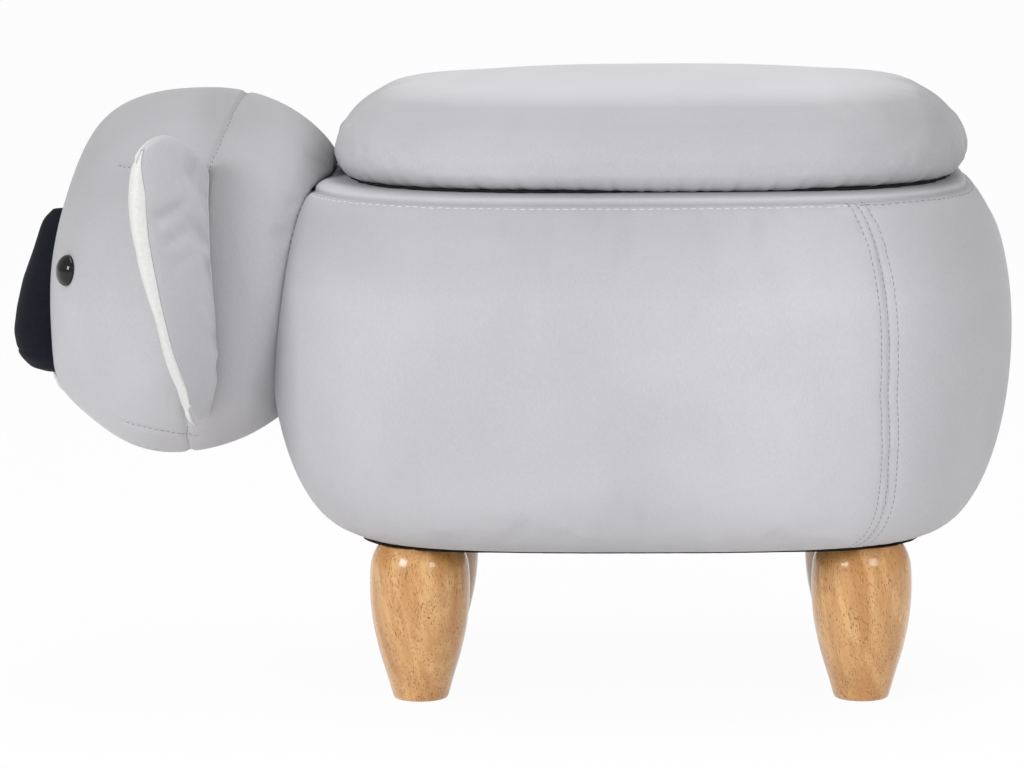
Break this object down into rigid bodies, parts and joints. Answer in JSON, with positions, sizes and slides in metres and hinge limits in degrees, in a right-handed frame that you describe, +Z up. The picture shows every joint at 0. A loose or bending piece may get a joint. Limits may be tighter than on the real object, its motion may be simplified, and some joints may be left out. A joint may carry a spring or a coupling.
{
  "type": "animal footstool",
  "caption": "Animal-shaped footstool with a padded hinged lid over a storage compartment, a stuffed head with drooping ears, and turned wooden legs.",
  "frame": {"origin": "on the floor, under the middle of the overall length and width", "axes": "+Z up, +X towards the tail, head at -X, hinges of the lid on the +Y side"},
  "size_m": [0.64, 0.3716, 0.3939],
  "materials": {
    "velvet": "short-pile light grey velvet",
    "plush": "white plush pile",
    "nose_fabric": "black brushed fabric",
    "lining": "black non-woven lining",
    "foam": "open-cell upholstery foam",
    "wadding": "fibre wadding",
    "plywood": "unfinished plywood",
    "leg_wood": "lacquered turned hardwood",
    "eye_plastic": "glossy dark brown domed plastic",
    "washer_plastic": "plain moulded plastic",
    "steel": "zinc-plated steel"
  },
  "bodies": {
    "base": {"near_side_cover": "velvet", "far_side_cover": "velvet", "tail_cover": "velvet", "rim_band": "velvet", "head_face_cover": "velvet", "head_back_cover": "velvet", "ear_back_near": "velvet", "ear_back_far": "velvet", "ear_front_near": "plush", "ear_front_far": "plush", "chin_patch": "plush", "nose": "nose_fabric", "wall_lining": "lining", "floor_panel": "lining", "dust_cover": "lining", "foam_sleeve": "foam", "head_filling": "wadding", "ear_wadding_near": "wadding", "ear_wadding_far": "wadding", "bottom_board": "plywood", "frame_wall": "plywood", "top_ring": "plywood", "head_board": "plywood", "leg_near_front": "leg_wood", "leg_near_rear": "leg_wood", "leg_far_front": "leg_wood", "leg_far_rear": "leg_wood", "eye_near": "eye_plastic", "eye_far": "eye_plastic", "eye_washer_near": "washer_plastic", "eye_washer_far": "washer_plastic", "hanger_bolt_near_front": "steel", "hanger_bolt_near_rear": "steel", "hanger_bolt_far_front": "steel", "hanger_bolt_far_rear": "steel", "tee_nut_near_front": "steel", "tee_nut_near_rear": "steel", "tee_nut_far_front": "steel", "tee_nut_far_rear": "steel", "head_bolt_near": "steel", "head_bolt_far": "steel", "head_washer_near": "steel", "head_washer_far": "steel", "head_nut_near": "steel", "head_nut_far": "steel", "hinge_base_leaf_1": "steel", "hinge_base_leaf_2": "steel", "hinge_pin_1": "steel", "hinge_pin_2": "steel"},
    "lid": {"lid_board": "plywood", "lid_lining": "lining", "lid_foam": "foam", "lid_cover": "velvet", "hinge_lid_leaf_1": "steel", "hinge_lid_leaf_2": "steel"}
  },
  "joints": [
    {"name": "lid_hinge", "type": "hinge", "parent": "base", "child": "lid", "pos_m": [0.0895, 0.143, 0.3299], "axis": [-1, 0, 0], "range_deg": [0, 97]}
  ]
}
